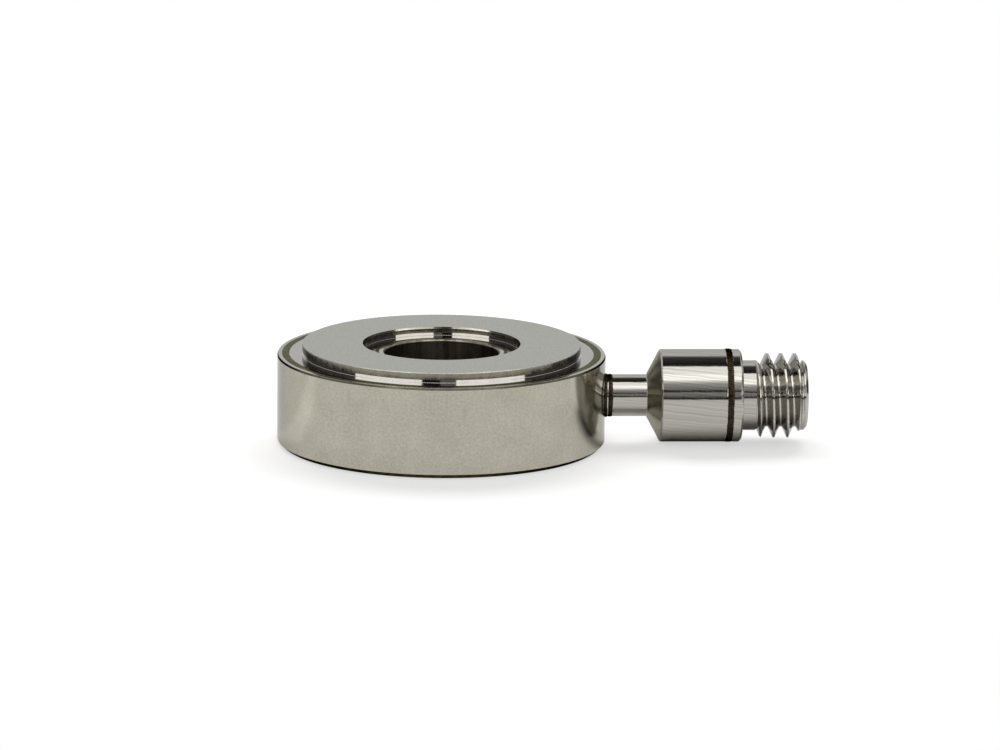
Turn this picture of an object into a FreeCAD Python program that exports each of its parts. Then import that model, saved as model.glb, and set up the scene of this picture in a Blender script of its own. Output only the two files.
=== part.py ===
import FreeCAD, Part
import os

import Sketcher

# Piezoelectric force washer: a welded stainless ring around a bolt bore, with two quartz rings and an
# electrode inside, and a coaxial screw connector on a slim stem.
# Frame: origin on the bore's axis in the base plane, +Z up through the load face, +X along the connector.
# Every driving size, in millimetres: alias, value, what it measures.
SIZES = (
    ("ring_od", "18.7", "outer diameter of the ring"),
    ("bore_dia", "6.5", "bolt bore"),
    ("housing_height", "5.16", "base to the outer rim"),
    ("load_rise", "0.57", "load face above the outer rim"),
    ("inner_lift", "0.07", "inner rim and ledge above the outer rim"),
    ("outer_rim", "0.48", "outer wall to the outer weld joint, radial"),
    ("inner_rim", "0.41", "bore to the inner weld joint, radial"),
    ("outer_ledge", "0.95", "outer weld joint to the raised face, radial"),
    ("inner_ledge", "0.8", "inner weld joint to the raised face, radial"),
    ("seat_width", "0.3", "shoulder under each membrane edge, radial"),
    ("membrane", "0.35", "thickness of the cover's membranes"),
    ("outer_track", "0.42", "width of the outer weld track"),
    ("inner_track", "0.22", "width of the inner weld track"),
    ("track_sink", "0.03", "depth of the weld tracks along their joints"),
    ("lip_width", "0.03", "lead-in on the rim's and the raised face's edges, radial"),
    ("lip_height", "0.11", "lead-in on the rim's and the raised face's edges, axial"),
    ("foot_bevel", "0.05", "tool-nose bevel at the foot of the raised face"),
    ("base_chamfer", "0.25", "chamfer on the base's outer edge"),
    ("bore_chamfer", "0.07", "chamfer at both ends of the bore"),
    ("quartz_thickness", "1.0", "each quartz ring"),
    ("electrode_thickness", "0.1", "electrode foil"),
    ("insulator_wall", "0.5", "wall of the two insulating sleeves"),
    ("insulator_headroom", "0.15", "gap from the sleeves' top edge to the membranes"),
    ("stack_gap", "0.03", "running clearance between loose inner pieces"),
    ("tab_width", "0.8", "electrode tab"),
    ("tab_length", "0.3", "electrode tab past the quartz"),
    ("tab_clearance", "0.1", "slot round the tab and the lead, each side"),
    ("axis_height", "2.69", "connector axis above the base"),
    ("stem_dia", "2.4", "stem"),
    ("stem_length", "2.35", "ring wall to the cone"),
    ("lead_bore", "1.3", "bore of the stem"),
    ("cone_length", "0.73", "cone between stem and barrel"),
    ("barrel_dia", "5.3", "barrel"),
    ("barrel_length", "3.94", "cone to the barrel's weld joint"),
    ("barrel_edge", "0.08", "broken edges of the barrel"),
    ("barrel_floor", "0.6", "solid end of the barrel behind its bore"),
    ("barrel_bore", "3.8", "bore of the barrel"),
    ("barrel_track", "0.4", "width of the barrel's weld track"),
    ("flange_length", "0.73", "connector flange past the weld joint"),
    ("flange_edge", "0.12", "broken edge of the connector flange"),
    ("spigot_length", "0.8", "connector spigot inside the barrel"),
    ("relief_dia", "4.0", "thread relief"),
    ("relief_length", "1.0", "thread relief"),
    ("thread_dia", "4.826", "major diameter of the 10-32 UNF thread"),
    ("thread_length", "2.4", "threaded length"),
    ("thread_runout", "0.28", "bevel at each end of the thread"),
    ("nose_dia", "4.0", "plain nose past the thread"),
    ("nose_length", "0.35", "plain nose past the thread"),
    ("nose_edge", "0.16", "bevel on the nose"),
    ("cup_dia", "2.9", "socket in the connector's end"),
    ("cup_depth", "2.25", "socket in the connector's end"),
    ("seal_dia", "2.4", "glass seal"),
    ("seal_length", "2.2", "glass seal"),
    ("dielectric_recess", "0.5", "front insulator behind the connector's end"),
    ("contact_recess", "0.2", "contact tip behind the front insulator"),
    ("contact_dia", "1.0", "socket of the centre contact"),
    ("contact_hole", "0.54", "hole of the centre contact"),
    ("contact_hole_depth", "1.1", "hole of the centre contact"),
    ("slot_width", "0.12", "slots between the contact's fingers"),
    ("slot_depth", "0.9", "slots between the contact's fingers"),
    ("tail_dia", "0.6", "tail of the centre contact"),
    ("tail_length", "3.4", "tail of the centre contact"),
    ("lead_dia", "0.4", "signal lead"),
)
FINGER_SLOTS = 2

# Radii of the ring, from the outer wall and the bore inwards.
RING_R = "Dims.ring_od / 2"
BORE_R = "Dims.bore_dia / 2"
OUTER_JOINT = f"{RING_R} - Dims.outer_rim"
INNER_JOINT = f"{BORE_R} + Dims.inner_rim"
OUTER_CAVITY = f"{OUTER_JOINT} - Dims.seat_width"
INNER_CAVITY = f"{INNER_JOINT} + Dims.seat_width"
RAISED_OUT = f"{OUTER_JOINT} - Dims.outer_ledge"
RAISED_IN = f"{INNER_JOINT} + Dims.inner_ledge"
STACK_OUT = f"{OUTER_CAVITY} - Dims.insulator_wall - 2 * Dims.stack_gap"
STACK_IN = f"{INNER_CAVITY} + Dims.insulator_wall + 2 * Dims.stack_gap"

# Heights: the electrode lies level with the connector axis, and the stack is built up either side of it.
RIM = "Dims.housing_height"
INNER_RIM = f"{RIM} + Dims.inner_lift"
FACE = f"{RIM} + Dims.load_rise"
SEAT = f"{RIM} - Dims.membrane"
TRACK_FLOOR = f"{RIM} - Dims.track_sink"
INNER_TRACK_FLOOR = f"{INNER_RIM} - Dims.track_sink"
SLEEVE_TOP = f"{SEAT} - Dims.insulator_headroom"
ELECTRODE_LOW = "Dims.axis_height - Dims.electrode_thickness / 2"
ELECTRODE_TOP = "Dims.axis_height + Dims.electrode_thickness / 2"
FLOOR = f"{ELECTRODE_LOW} - Dims.quartz_thickness"
PRESSURE_FACE = f"{ELECTRODE_TOP} + Dims.quartz_thickness"

# Places along the connector axis, from the ring's axis outwards.
CONE_START = f"{RING_R} + Dims.stem_length"
BARREL_START = f"{CONE_START} + Dims.cone_length"
BARREL_JOINT = f"{BARREL_START} + Dims.barrel_length"
FLANGE_END = f"{BARREL_JOINT} + Dims.flange_length"
THREAD_START = f"{FLANGE_END} + Dims.relief_length"
THREAD_END = f"{THREAD_START} + Dims.thread_length"
NOSE_END = f"{THREAD_END} + Dims.nose_length"
BARREL_BORE_END = f"{BARREL_START} + Dims.barrel_floor"
SPIGOT_END = f"{BARREL_JOINT} - Dims.spigot_length"
CUP_FLOOR = f"{NOSE_END} - Dims.cup_depth"
SEAL_BACK = f"{CUP_FLOOR} - Dims.seal_length"
DIELECTRIC_FRONT = f"{NOSE_END} - Dims.dielectric_recess"
CONTACT_TIP = f"{DIELECTRIC_FRONT} - Dims.contact_recess"
TAIL_END = f"{CUP_FLOOR} - Dims.tail_length"
HOLE_FLOOR = f"{CONTACT_TIP} - Dims.contact_hole_depth"
TAB_ROOT = f"{STACK_OUT} - Dims.tab_width"
TAB_END = f"{STACK_OUT} + Dims.tab_length"

# Radii about the connector axis, from the ring outwards, and the slot for tab and lead.
STEM_R = "Dims.stem_dia / 2"
LEAD_BORE_R = "Dims.lead_bore / 2"
BARREL_R = "Dims.barrel_dia / 2"
BARREL_TRACK_R = f"{BARREL_R} - Dims.track_sink"
BARREL_BORE_R = "Dims.barrel_bore / 2"
RELIEF_R = "Dims.relief_dia / 2"
THREAD_R = "Dims.thread_dia / 2"
NOSE_R = "Dims.nose_dia / 2"
CUP_R = "Dims.cup_dia / 2"
SEAL_R = "Dims.seal_dia / 2"
CONTACT_R = "Dims.contact_dia / 2"
HOLE_R = "Dims.contact_hole / 2"
TAIL_R = "Dims.tail_dia / 2"
LEAD_R = "Dims.lead_dia / 2"
SLOT_HALF = "Dims.tab_width / 2 + Dims.tab_clearance"
SLOT_FLOOR = f"Dims.axis_height - {LEAD_R} - Dims.tab_clearance"

# A sketch's own vertical and horizontal axis and its origin, as its constraints name them.
SKETCH_AXES = (-2, -1)
SKETCH_ORIGIN = (-1, 1)

doc = FreeCAD.newDocument("force_washer")
dims = doc.addObject("Spreadsheet::Sheet", "Dims")
for row, (alias, value, meaning) in enumerate(SIZES, start=1):
    dims.set(f"A{row}", meaning)
    dims.set(f"B{row}", value)
    dims.setAlias(f"B{row}", alias)
doc.recompute()


def size(expression):
    """The present value of an expression over the sheet."""
    return float(dims.evalExpression(expression))


def new_body(label, height=None):
    """An empty body, lifted to a height above the base if one is given."""
    body = doc.addObject("PartDesign::Body", label)
    body.Label = label
    if height:
        body.setExpression("Placement.Base.z", height)
    return body


def new_sketch(body, name, role, offset=None):
    """A sketch on one of the body's origin planes, moved along the plane's normal by an offset."""
    plane = next(p for p in body.Origin.OriginFeatures if p.Role == role)
    sketch = body.newObject("Sketcher::SketchObject", name)
    sketch.AttachmentSupport = [(plane, "")]
    sketch.MapMode = "FlatFace"
    if offset:
        sketch.setExpression("AttachmentOffset.Base.z", offset)
    return sketch


def hold_point(sketch, geometry, position, across, up):
    """Tie a point to the sketch's origin by two expressions; a zero puts it on the axis."""
    for kind, axis, expression in zip(("DistanceX", "DistanceY"), SKETCH_AXES, (across, up)):
        if expression == "0":
            sketch.addConstraint(Sketcher.Constraint("PointOnObject", geometry, position, axis))
            continue
        tie = Sketcher.Constraint(kind, *SKETCH_ORIGIN, geometry, position, size(expression))
        name = f"{kind}_{geometry}_{position}"
        sketch.renameConstraint(sketch.addConstraint(tie), name)
        sketch.setExpression(f"Constraints.{name}", expression)


def draw_outline(sketch, corners):
    """A closed outline of straight lines through corners given as pairs of expressions."""
    points = [FreeCAD.Vector(size(across), size(up), 0) for across, up in corners]
    following = points[1:] + points[:1]
    for start, end in zip(points, following):
        sketch.addGeometry(Part.LineSegment(start, end))
    for line in range(len(corners)):
        after = (line + 1) % len(corners)
        sketch.addConstraint(Sketcher.Constraint("Coincident", line, 2, after, 1))
    for line, (across, up) in enumerate(corners):
        hold_point(sketch, line, 1, across, up)


def turned(label, corners, axis, height=None):
    """A body turned from its half section about V_Axis (the bore) or H_Axis (the connector)."""
    body = new_body(label, height)
    section = new_sketch(body, f"{label}_section", "XZ_Plane")
    draw_outline(section, corners)
    turn = body.newObject("PartDesign::Revolution", f"{label}_turn")
    turn.Profile = section
    turn.ReferenceAxis = (section, [axis])
    turn.Angle = 360
    doc.recompute()
    return body


def washer(label, inner, outer, bottom, top):
    """A plain ring about the bore."""
    return turned(label, ((inner, bottom), (outer, bottom), (outer, top), (inner, top)), "V_Axis")


def bush(label, back, front, inner, outer):
    """A plain tube about the connector axis."""
    corners = ((back, inner), (front, inner), (front, outer), (back, outer))
    return turned(label, corners, "H_Axis", "Dims.axis_height")


def cut(body, name, sketch, through, depth=None):
    """A pocket, outwards through everything or inwards to a depth, that must remove metal."""
    before = body.Shape.Volume
    pocket = body.newObject("PartDesign::Pocket", name)
    pocket.Profile = sketch
    pocket.Reversed = through
    if through:
        pocket.Type = "ThroughAll"
    else:
        pocket.setExpression("Length", depth)
    doc.recompute()
    if body.Shape.Volume >= before:
        raise RuntimeError(f"{name} removed nothing")
    return pocket


# Housing: one turned U-section ring, floor and both walls, with a shoulder for the cover on each wall.
housing = turned("housing", (
    (f"{BORE_R} + Dims.bore_chamfer", "0"),
    (f"{RING_R} - Dims.base_chamfer", "0"),
    (RING_R, "Dims.base_chamfer"),
    (RING_R, f"{RIM} - Dims.lip_height"),
    (f"{RING_R} - Dims.lip_width", RIM),
    (f"{OUTER_JOINT} + Dims.outer_track / 2", RIM),
    (OUTER_JOINT, TRACK_FLOOR),
    (OUTER_JOINT, SEAT),
    (OUTER_CAVITY, SEAT),
    (OUTER_CAVITY, FLOOR),
    (INNER_CAVITY, FLOOR),
    (INNER_CAVITY, SEAT),
    (INNER_JOINT, SEAT),
    (INNER_JOINT, INNER_TRACK_FLOOR),
    (f"{INNER_JOINT} - Dims.inner_track / 2", INNER_RIM),
    (f"{BORE_R} + Dims.bore_chamfer", INNER_RIM),
    (BORE_R, f"{INNER_RIM} - Dims.bore_chamfer"),
    (BORE_R, "Dims.bore_chamfer"),
), "V_Axis")

# Port for the stem, from inside the cavity out through the outer wall.
port = new_sketch(housing, "stem_port_outline", "YZ_Plane", STACK_OUT)
middle = FreeCAD.Vector(0, size("Dims.axis_height"), 0)
port.addGeometry(Part.Circle(middle, FreeCAD.Vector(0, 0, 1), size(STEM_R)))
hold_point(port, 0, 3, "0", "Dims.axis_height")
fit = port.addConstraint(Sketcher.Constraint("Radius", 0, size(STEM_R)))
port.renameConstraint(fit, "stem_fit")
port.setExpression("Constraints.stem_fit", STEM_R)
cut(housing, "stem_port", port, through=True)

# Cover: a raised load ring carried between two thin membranes, pressing on the quartz underneath.
load_ring = turned("load_ring", (
    (STACK_IN, PRESSURE_FACE),
    (STACK_OUT, PRESSURE_FACE),
    (STACK_OUT, SEAT),
    (OUTER_JOINT, SEAT),
    (OUTER_JOINT, TRACK_FLOOR),
    (f"{OUTER_JOINT} - Dims.outer_track / 2", RIM),
    (f"{RAISED_OUT} + Dims.foot_bevel", RIM),
    (RAISED_OUT, f"{RIM} + Dims.foot_bevel"),
    (RAISED_OUT, f"{FACE} - Dims.lip_height"),
    (f"{RAISED_OUT} - Dims.lip_width", FACE),
    (f"{RAISED_IN} + Dims.lip_width", FACE),
    (RAISED_IN, f"{FACE} - Dims.lip_height"),
    (RAISED_IN, f"{INNER_RIM} + Dims.foot_bevel"),
    (f"{RAISED_IN} - Dims.foot_bevel", INNER_RIM),
    (f"{INNER_JOINT} + Dims.inner_track / 2", INNER_RIM),
    (INNER_JOINT, INNER_TRACK_FLOOR),
    (INNER_JOINT, SEAT),
    (STACK_IN, SEAT),
), "V_Axis")

# Measuring stack: quartz, electrode foil and quartz between the floor and the cover.
lower_quartz = washer("lower_quartz_ring", STACK_IN, STACK_OUT, FLOOR, ELECTRODE_LOW)
upper_quartz = washer("upper_quartz_ring", STACK_IN, STACK_OUT, ELECTRODE_TOP, PRESSURE_FACE)
electrode = washer("electrode_ring", STACK_IN, STACK_OUT, ELECTRODE_LOW, ELECTRODE_TOP)
tab_outline = new_sketch(electrode, "tab_outline", "XY_Plane", ELECTRODE_LOW)
draw_outline(tab_outline, (
    (TAB_ROOT, "-Dims.tab_width / 2"),
    (TAB_END, "-Dims.tab_width / 2"),
    (TAB_END, "Dims.tab_width / 2"),
    (TAB_ROOT, "Dims.tab_width / 2"),
))
tab = electrode.newObject("PartDesign::Pad", "tab")
tab.Profile = tab_outline
tab.setExpression("Length", "Dims.electrode_thickness")
doc.recompute()

# Insulating sleeves either side of the stack; the outer one is slotted from the top for tab and lead.
inner_insulator = washer("inner_insulator", f"{INNER_CAVITY} + Dims.stack_gap",
                         f"{STACK_IN} - Dims.stack_gap", FLOOR, SLEEVE_TOP)
outer_insulator = washer("outer_insulator", f"{STACK_OUT} + Dims.stack_gap",
                         f"{OUTER_CAVITY} - Dims.stack_gap", FLOOR, SLEEVE_TOP)
slot_outline = new_sketch(outer_insulator, "lead_slot_outline", "YZ_Plane")
draw_outline(slot_outline, (
    (f"-({SLOT_HALF})", SLOT_FLOOR),
    (SLOT_HALF, SLOT_FLOOR),
    (SLOT_HALF, RIM),
    (f"-({SLOT_HALF})", RIM),
))
cut(outer_insulator, "lead_slot", slot_outline, through=True)

# Stem, cone and barrel: one turned piece, bored for the lead and counterbored for the connector.
stem = turned("connector_stem", (
    (OUTER_CAVITY, LEAD_BORE_R),
    (BARREL_BORE_END, LEAD_BORE_R),
    (BARREL_BORE_END, BARREL_BORE_R),
    (BARREL_JOINT, BARREL_BORE_R),
    (BARREL_JOINT, BARREL_TRACK_R),
    (f"{BARREL_JOINT} - Dims.barrel_track / 2", BARREL_R),
    (f"{BARREL_START} + Dims.barrel_edge", BARREL_R),
    (BARREL_START, f"{BARREL_R} - Dims.barrel_edge"),
    (CONE_START, STEM_R),
    (OUTER_CAVITY, STEM_R),
), "H_Axis", "Dims.axis_height")

# Connector shell: spigot, flange, thread relief, thread at its major diameter and plain nose.
shell = turned("connector_shell", (
    (SPIGOT_END, SEAL_R),
    (CUP_FLOOR, SEAL_R),
    (CUP_FLOOR, CUP_R),
    (NOSE_END, CUP_R),
    (NOSE_END, f"{NOSE_R} - Dims.nose_edge"),
    (f"{NOSE_END} - Dims.nose_edge", NOSE_R),
    (THREAD_END, NOSE_R),
    (f"{THREAD_END} - Dims.thread_runout", THREAD_R),
    (f"{THREAD_START} + Dims.thread_runout", THREAD_R),
    (THREAD_START, RELIEF_R),
    (FLANGE_END, RELIEF_R),
    (FLANGE_END, f"{BARREL_R} - Dims.flange_edge"),
    (f"{FLANGE_END} - Dims.flange_edge", BARREL_R),
    (f"{BARREL_JOINT} + Dims.barrel_track / 2", BARREL_R),
    (BARREL_JOINT, BARREL_TRACK_R),
    (BARREL_JOINT, BARREL_BORE_R),
    (SPIGOT_END, BARREL_BORE_R),
), "H_Axis", "Dims.axis_height")

# Centre contact: a tail through the glass and a socket split into spring fingers.
contact = turned("centre_contact", (
    (TAIL_END, "0"),
    (HOLE_FLOOR, "0"),
    (HOLE_FLOOR, HOLE_R),
    (CONTACT_TIP, HOLE_R),
    (CONTACT_TIP, CONTACT_R),
    (CUP_FLOOR, CONTACT_R),
    (CUP_FLOOR, TAIL_R),
    (TAIL_END, TAIL_R),
), "H_Axis", "Dims.axis_height")
finger_outline = new_sketch(contact, "finger_slot_outline", "YZ_Plane", CONTACT_TIP)
draw_outline(finger_outline, (
    ("-Dims.slot_width / 2", "-Dims.contact_dia"),
    ("Dims.slot_width / 2", "-Dims.contact_dia"),
    ("Dims.slot_width / 2", "Dims.contact_dia"),
    ("-Dims.slot_width / 2", "Dims.contact_dia"),
))
finger_slot = cut(contact, "finger_slot", finger_outline, through=False, depth="Dims.slot_depth")
fingers = contact.newObject("PartDesign::PolarPattern", "finger_slots")
fingers.Originals = [finger_slot]
fingers.Axis = (next(a for a in contact.Origin.OriginFeatures if a.Role == "X_Axis"), [""])
fingers.Angle = 90
fingers.Occurrences = FINGER_SLOTS
contact.Tip = fingers
doc.recompute()

# Insulation of the connector, and the lead from the electrode's tab to the contact's tail.
glass_seal = bush("glass_seal", SEAL_BACK, CUP_FLOOR, TAIL_R, SEAL_R)
dielectric = bush("contact_insulator", CUP_FLOOR, DIELECTRIC_FRONT, f"{CONTACT_R} + Dims.stack_gap", CUP_R)
barrel_insulator = bush("barrel_insulator", BARREL_BORE_END, SPIGOT_END,
                        f"{TAIL_R} + Dims.stack_gap", f"{BARREL_BORE_R} - Dims.stack_gap")
lead_sleeve = bush("lead_sleeve", OUTER_CAVITY, BARREL_BORE_END,
                   f"{LEAD_R} + Dims.stack_gap", f"{LEAD_BORE_R} - Dims.stack_gap")
lead = doc.addObject("Part::Cylinder", "signal_lead")
lead.Label = "signal_lead"
lead.Placement.Rotation = FreeCAD.Rotation(FreeCAD.Vector(0, 1, 0), 90)
lead.setExpression("Radius", LEAD_R)
lead.setExpression("Height", f"{TAIL_END} - ({TAB_END})")
lead.setExpression("Placement.Base.x", TAB_END)
lead.setExpression("Placement.Base.z", "Dims.axis_height")
doc.recompute()

failed = [o.Name for o in doc.Objects if "Invalid" in o.State or "Error" in o.State]
if failed:
    raise RuntimeError(f"not built: {failed}")
parts = [o for o in doc.Objects if o.TypeId == "PartDesign::Body"] + [lead]
for part in parts:
    if part.Shape.isNull() or not part.Shape.isValid() or len(part.Shape.Solids) != 1:
        raise RuntimeError(f"{part.Label} is not one valid solid")
os.makedirs("parts", exist_ok=True)
for part in parts:
    part.Shape.exportStep(f"parts/{part.Label}.step")
    print(part.Label, round(part.Shape.Volume, 3))
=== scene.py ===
import math

import bmesh
import bpy
from mathutils import Matrix, Vector


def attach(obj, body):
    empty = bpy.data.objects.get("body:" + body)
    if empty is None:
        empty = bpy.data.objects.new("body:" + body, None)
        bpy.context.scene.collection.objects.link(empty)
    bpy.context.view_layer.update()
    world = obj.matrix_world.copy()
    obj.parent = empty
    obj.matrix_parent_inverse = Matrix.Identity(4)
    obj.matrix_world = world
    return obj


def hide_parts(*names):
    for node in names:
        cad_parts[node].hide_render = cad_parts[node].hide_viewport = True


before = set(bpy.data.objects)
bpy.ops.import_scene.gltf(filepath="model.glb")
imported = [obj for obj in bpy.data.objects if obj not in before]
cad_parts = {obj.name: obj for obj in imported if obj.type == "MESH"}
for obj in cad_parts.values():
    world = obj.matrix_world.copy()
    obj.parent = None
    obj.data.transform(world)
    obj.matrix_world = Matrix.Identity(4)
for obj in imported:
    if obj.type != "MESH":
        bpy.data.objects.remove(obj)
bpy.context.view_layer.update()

MM = 0.001

# Sizes of the sensor in millimetres, as the solids have them. Radii and heights of the ring; the outer
# radius is the one inside the facets of the solid.
RING_R = 9.345
BORE_R = 3.25
OUTER_JOINT = 8.87
INNER_JOINT = 3.66
OUTER_CAVITY = 8.57
INNER_CAVITY = 3.96
RAISED_OUT = 7.92
RAISED_IN = 4.46
STACK_OUT = 8.01
STACK_IN = 4.52
RIM = 5.16
INNER_RIM = 5.23
FACE = 5.73
SEAT = 4.81
CAVITY_FLOOR = 1.64
PRESSURE_FACE = 3.74
BASE_CHAMFER = 0.25
BORE_CHAMFER = 0.07
LIP_WIDTH = 0.03
RIM_LEAD = 0.06
LIP_HEIGHT = 0.11
OUTER_TRACK = 0.42
INNER_TRACK = 0.22
TRACK_SINK = 0.03
FOOT_BAND = 0.16
PORT_OVERRUN = 1.0

# Places along the connector and radii about its axis.
AXIS_HEIGHT = 2.69
STEM_WELD = RING_R + 0.265
CONE_START = 11.70
BARREL_START = 12.43
BARREL_BORE_END = 13.03
TAIL_END = 15.20
SPIGOT_END = 15.57
BARREL_JOINT = 16.37
FLANGE_END = 17.10
THREAD_IN = 17.88
CUP_FLOOR = 18.60
HOLE_FLOOR = 19.05
CONTACT_TIP = 20.15
INSULATOR_FRONT = 20.35
THREAD_END = 20.50
THREAD_OUT = 20.62
NOSE_END = 20.85
STEM_R = 1.20
LEAD_BORE_R = 0.65
BARREL_R = 2.65
BARREL_BORE_R = 1.90
BARREL_TRACK = 0.40
BARREL_BEAD_SINK = 0.02
CONE_BREAK = 0.08
RELIEF_R = 2.00
FLANGE_BREAK = 0.12
THREAD_R = 2.413
THREAD_ROOT_R = 1.80
THREAD_INSIDE_R = 1.7
THREAD_PITCH = 0.794
LEAD_IN = 0.38
LEAD_OUT = 0.16
NOSE_R = 2.00
NOSE_EDGE = 0.16
CUP_R = 1.45
SEAL_R = 1.20
CONTACT_R = 0.50
CONTACT_HOLE_R = 0.27
CONTACT_GAP = 0.03
DRILL_POINT = 0.1
TAIL_R = 0.30
SLOT_WIDTH = 0.12
SLOT_DEPTH = 0.90

# Roundings of edges that the solids leave sharp, from a crisp turned edge to a well broken one.
CRISP = 0.012
TRACK_EDGE = 0.02
BROKEN = 0.03
LIP_ROUND = 0.04
EASED = 0.05
ROUND = 0.06
TIP_ROUND = 0.08
TRACK_BLEND = 0.3

# Slanted scratches on the barrel: their slope along it, and how far they wander.
SCRATCH_SLOPE = -0.12
SCRATCH_WAVE = 0.16

# Fineness of the meshes: facets round each kind of piece, steps, and the points that hold long flats flat.
RING_SIDES = 288
CONNECTOR_SIDES = 224
SOCKET_SIDES = 96
ARC_STEP = math.radians(15)
THREAD_STEP = 0.02
SMOOTH_BELOW = math.radians(40)
LONG_RUN = 0.06
HOLD = 0.004
SAME_SPOT = 1e-8
TINY = 1e-6

MATH = "ShaderNodeMath"
VECTOR_MATH = "ShaderNodeVectorMath"


def colour(hex_code):
    """An sRGB hex value as linear red, green, blue and alpha."""
    parts = [int(hex_code[i:i + 2], 16) / 255 for i in (1, 3, 5)]
    return (*[c / 12.92 if c <= 0.04045 else ((c + 0.055) / 1.055) ** 2.4 for c in parts], 1.0)


def node(tree, kind, inputs=(), **settings):
    """Add one node: settings are its properties; inputs, by name or in order, hold values or sockets."""
    made = tree.nodes.new(kind)
    for name, value in settings.items():
        setattr(made, name, value)
    for key, value in inputs.items() if isinstance(inputs, dict) else enumerate(inputs):
        if isinstance(value, bpy.types.NodeSocket):
            tree.links.new(value, made.inputs[key])
        else:
            made.inputs[key].default_value = value
    return made


def fade(tree, value, start, end):
    """A soft edge: a smooth, clamped change from 0 at start to 1 at end."""
    return node(tree, "ShaderNodeMapRange", {"Value": value, "From Min": start, "From Max": end},
                interpolation_type="SMOOTHSTEP").outputs["Result"]


def per_mm(size):
    """Texture scale for a feature of this size in millimetres, on coordinates in metres."""
    return 1.0 / (size * MM)


# Materials. STEEL_EDGE is the steel's colour at grazing angles. Turning marks, lapping grain and wiping
# scratches finer than a pixel, about 0.06 mm, would not show, so they are drawn as coarse as they need to
# be; sizes are in millimetres.

STEEL_EDGE = "#D3D3D3"
PATTERN_LOW = 0.3
PATTERN_HIGH = 0.7


def finish(name, base, metallic, roughness, edge="#FFFFFF"):
    """A new material with its shader; the constants sit on the shader's own sockets."""
    made = bpy.data.materials.new(name)
    made.use_nodes = True
    tree = made.node_tree
    shader = tree.nodes["Principled BSDF"]
    shader.inputs["Base Color"].default_value = colour(base)
    shader.inputs["Metallic"].default_value = metallic
    shader.inputs["Roughness"].default_value = roughness
    shader.inputs["Specular Tint"].default_value = colour(edge)
    place = node(tree, "ShaderNodeTexCoord").outputs["Object"]
    return made, tree, shader, place


def distance_from_bore(tree, place):
    """Distance from the bore's axis, for marks that run round the ring."""
    flat = node(tree, VECTOR_MATH, (place, (1, 1, 0)), operation="MULTIPLY").outputs[0]
    return node(tree, VECTOR_MATH, (flat,), operation="LENGTH").outputs["Value"]


def along(tree, place, axis):
    """One coordinate, for marks that run round the connector (X) or round the ring's wall (Z)."""
    return node(tree, "ShaderNodeSeparateXYZ", (place,)).outputs[axis]


def slanted(tree, place):
    """Distance round the barrel's surface less a share of the place along it, for slanted scratches."""
    about = node(tree, VECTOR_MATH, (place, (0, 0, AXIS_HEIGHT * MM)), operation="SUBTRACT").outputs[0]
    x, y, z = node(tree, "ShaderNodeSeparateXYZ", (about,)).outputs[:3]
    turn = node(tree, MATH, (z, y), operation="ARCTAN2").outputs[0]
    slope = node(tree, MATH, (x, SCRATCH_SLOPE), operation="MULTIPLY").outputs[0]
    stray = grain(tree, place, 0.9, 1.0)
    wave = node(tree, MATH, (stray, SCRATCH_WAVE * MM, slope), operation="MULTIPLY_ADD").outputs[0]
    return node(tree, MATH, (turn, BARREL_R * MM, wave), operation="MULTIPLY_ADD").outputs[0]


def lay(tree, value, pitch):
    """Tool marks: an uneven row of fine grooves along one coordinate, from 0 to 1."""
    return node(tree, "ShaderNodeTexNoise", {
        "W": value, "Scale": per_mm(pitch), "Detail": 2.0, "Roughness": 0.6},
        noise_dimensions="1D").outputs["Fac"]


def grain(tree, place, size, detail=3.0):
    """Cloudy grain of one size all over the surface, from 0 to 1."""
    return node(tree, "ShaderNodeTexNoise", {
        "Vector": place, "Scale": per_mm(size), "Detail": detail, "Roughness": 0.6}).outputs["Fac"]


def vary(tree, shader, socket, value, low, high):
    """Let a pattern move one of the shader's numbers between two values."""
    spread = node(tree, "ShaderNodeMapRange", {
        "Value": value, "From Min": PATTERN_LOW, "From Max": PATTERN_HIGH, "To Min": low, "To Max": high})
    tree.links.new(spread.outputs["Result"], shader.inputs[socket])


def tint(tree, shader, value, first, second):
    """Let a pattern move the colour between two close shades."""
    ramp = node(tree, "ShaderNodeValToRGB", {"Fac": value})
    for stop, position, shade in zip(ramp.color_ramp.elements, (PATTERN_LOW, PATTERN_HIGH), (first, second)):
        stop.position = position
        stop.color = colour(shade)
    tree.links.new(ramp.outputs["Color"], shader.inputs["Base Color"])


def relief(tree, shader, value, height, after=None):
    """Cut a pattern into the surface, height in millimetres, on top of an earlier one if there is one."""
    links = {"Height": value, "Distance": height * MM, "Strength": 1.0}
    if after:
        links["Normal"] = after
    bump = node(tree, "ShaderNodeBump", links)
    tree.links.new(bump.outputs["Normal"], shader.inputs["Normal"])
    return bump.outputs["Normal"]


# Fine-turned stainless wall, wiped but not polished: mirrors its neighbours with a cloudy, warm grain and
# weak, broad patches.
satin_wall, tree, shader, place = finish("fine_turned_stainless_wall", "#A9A699", 1.0, 0.13, STEEL_EDGE)
cloud = grain(tree, place, 0.13)
patches = grain(tree, place, 1.8, 1.0)
shade = node(tree, "ShaderNodeMix", {"Factor": 0.3, "A": cloud, "B": patches}).outputs[0]
tint(tree, shader, shade, "#9E9B8E", "#B6B2A4")
vary(tree, shader, "Roughness", grain(tree, place, 0.8), 0.1, 0.16)
worn = relief(tree, shader, cloud, 0.0005)
relief(tree, shader, lay(tree, along(tree, place, "Z"), 0.06), 0.0012, worn)

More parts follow.
